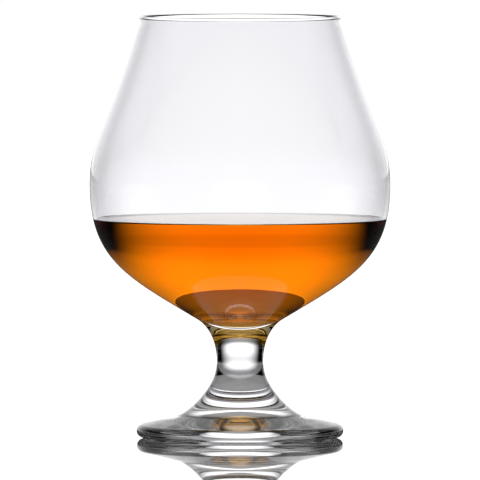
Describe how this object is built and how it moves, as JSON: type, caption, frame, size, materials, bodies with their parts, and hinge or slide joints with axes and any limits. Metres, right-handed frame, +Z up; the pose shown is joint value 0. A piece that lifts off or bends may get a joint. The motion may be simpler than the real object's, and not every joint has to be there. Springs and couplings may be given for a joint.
{
  "type": "brandy snifter",
  "caption": "Brandy snifter: a wide blown bowl that narrows to its rim, on a short solid stem and a heavy foot, with brandy in it.",
  "frame": {"origin": "on the table, under the middle of the foot", "axes": "+Z up, along the axis of the glass, from the foot to the rim; the glass is the same all round, so X and Y are free"},
  "size_m": [0.1, 0.1, 0.1404],
  "materials": {
    "bowl_glass": "polished",
    "stem_glass": "polished",
    "foot_glass": "polished",
    "brandy": "polished"
  },
  "bodies": {
    "glass": {"bowl": "bowl_glass", "stem": "stem_glass", "foot": "foot_glass"},
    "drink": {"brandy": "brandy"}
  },
  "joints": [
    {"name": "brandy_swirl", "type": "hinge", "parent": "glass", "child": "drink", "pos_m": [0, 0, 0.0728], "axis": [0, 0, 1], "continuous": true}
  ]
}
